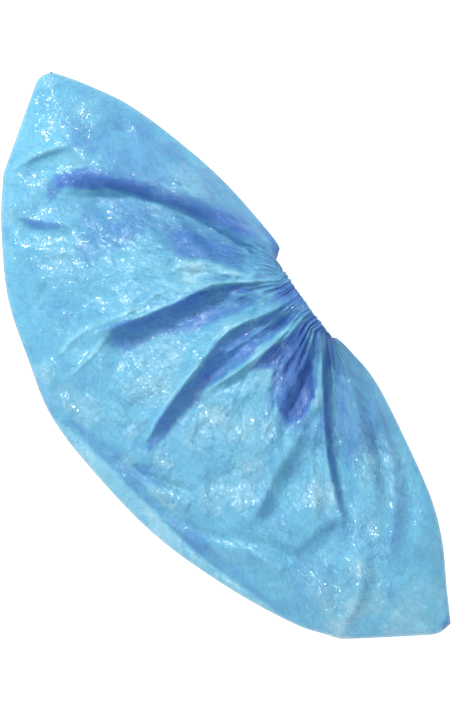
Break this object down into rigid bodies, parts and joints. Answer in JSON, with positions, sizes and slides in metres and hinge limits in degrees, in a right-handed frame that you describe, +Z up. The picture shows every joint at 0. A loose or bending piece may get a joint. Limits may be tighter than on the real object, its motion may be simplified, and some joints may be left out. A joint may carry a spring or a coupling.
{
  "type": "shoe cover",
  "caption": "Disposable shoe cover: a hollow film bag lying on its side, its mouth gathered in ruffles by an elastic loop in a folded hem.",
  "frame": {"origin": "centre of the footprint of the cover as it lies, on the surface it lies on", "axes": "+X from the toe tip to the heel tip, +Y towards the gathered mouth, +Z up from the back wall it lies on"},
  "size_m": [0.3322, 0.139, 0.032],
  "materials": {
    "film": "crumpled glossy film",
    "elastic": "matt"
  },
  "bodies": {
    "root": {"film_body": "film", "elastic_band": "elastic"}
  },
  "joints": []
}
